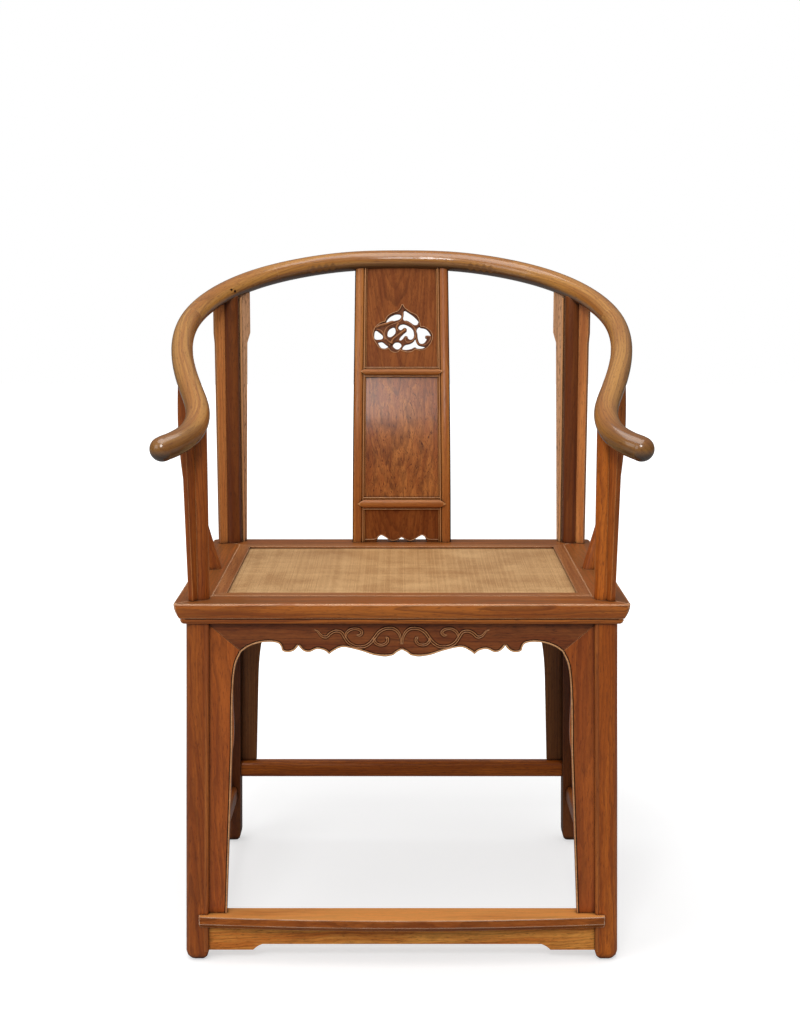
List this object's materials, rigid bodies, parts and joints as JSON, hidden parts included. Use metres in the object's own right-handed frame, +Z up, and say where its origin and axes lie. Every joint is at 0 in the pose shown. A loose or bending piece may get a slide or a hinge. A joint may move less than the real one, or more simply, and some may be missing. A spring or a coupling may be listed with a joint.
{
  "type": "horseshoe back armchair",
  "caption": "Hardwood armchair with a continuous sloping horseshoe crest rail, curved panelled splat with a pierced medallion, woven cane seat and shaped aprons.",
  "frame": {"origin": "centre of the bounding box on the floor plane, under the feet", "axes": "+X to the right as seen from the front, -Y towards the front of the chair, +Z up"},
  "size_m": [0.676, 0.6306, 0.974],
  "materials": {
    "rail_wood": "waxed, satin, worn",
    "peg_wood": "waxed, satin",
    "splat_wood": "waxed, satin",
    "frame_wood": "waxed, satin, worn",
    "apron_wood": "waxed, satin",
    "strip_wood": "waxed, satin",
    "hidden_wood": "plain, unwaxed",
    "seat_cane": "fine woven cane, satin",
    "coir_webbing": "coarse woven palm fibre, matt"
  },
  "bodies": {
    "root": {"crest_centre": "rail_wood", "crest_shoulder_left": "rail_wood", "crest_shoulder_right": "rail_wood", "crest_arm_left": "rail_wood", "crest_arm_right": "rail_wood", "crest_pegs": "peg_wood", "splat_stile_left": "splat_wood", "splat_stile_right": "splat_wood", "splat_upper_rail": "splat_wood", "splat_lower_rail": "splat_wood", "splat_top_panel": "splat_wood", "splat_middle_panel": "splat_wood", "splat_bottom_panel": "splat_wood", "front_leg_left": "frame_wood", "front_leg_right": "frame_wood", "rear_leg_left": "frame_wood", "rear_leg_right": "frame_wood", "seat_front_rail": "frame_wood", "seat_rear_rail": "frame_wood", "seat_side_rail_left": "frame_wood", "seat_side_rail_right": "frame_wood", "footrail": "frame_wood", "footrail_apron": "frame_wood", "side_stretcher_left": "frame_wood", "side_stretcher_right": "frame_wood", "rear_stretcher": "frame_wood", "side_brace_left": "frame_wood", "side_brace_right": "frame_wood", "front_apron": "apron_wood", "front_spandrel_left": "apron_wood", "front_spandrel_right": "apron_wood", "side_apron_left": "apron_wood", "side_apron_right": "apron_wood", "side_spandrel_left_front": "apron_wood", "side_spandrel_left_rear": "apron_wood", "side_spandrel_right_front": "apron_wood", "side_spandrel_right_rear": "apron_wood", "rear_apron": "apron_wood", "rear_spandrel_left": "apron_wood", "rear_spandrel_right": "apron_wood", "front_flange_left": "apron_wood", "front_flange_right": "apron_wood", "rear_inner_flange_left": "apron_wood", "rear_inner_flange_right": "apron_wood", "rear_outer_flange_left": "apron_wood", "rear_outer_flange_right": "apron_wood", "mat_strip_front": "strip_wood", "mat_strip_rear": "strip_wood", "mat_strip_left": "strip_wood", "mat_strip_right": "strip_wood", "seat_mat": "seat_cane", "seat_webbing": "coir_webbing", "seat_batten_left": "hidden_wood", "seat_batten_right": "hidden_wood"}
  },
  "joints": []
}
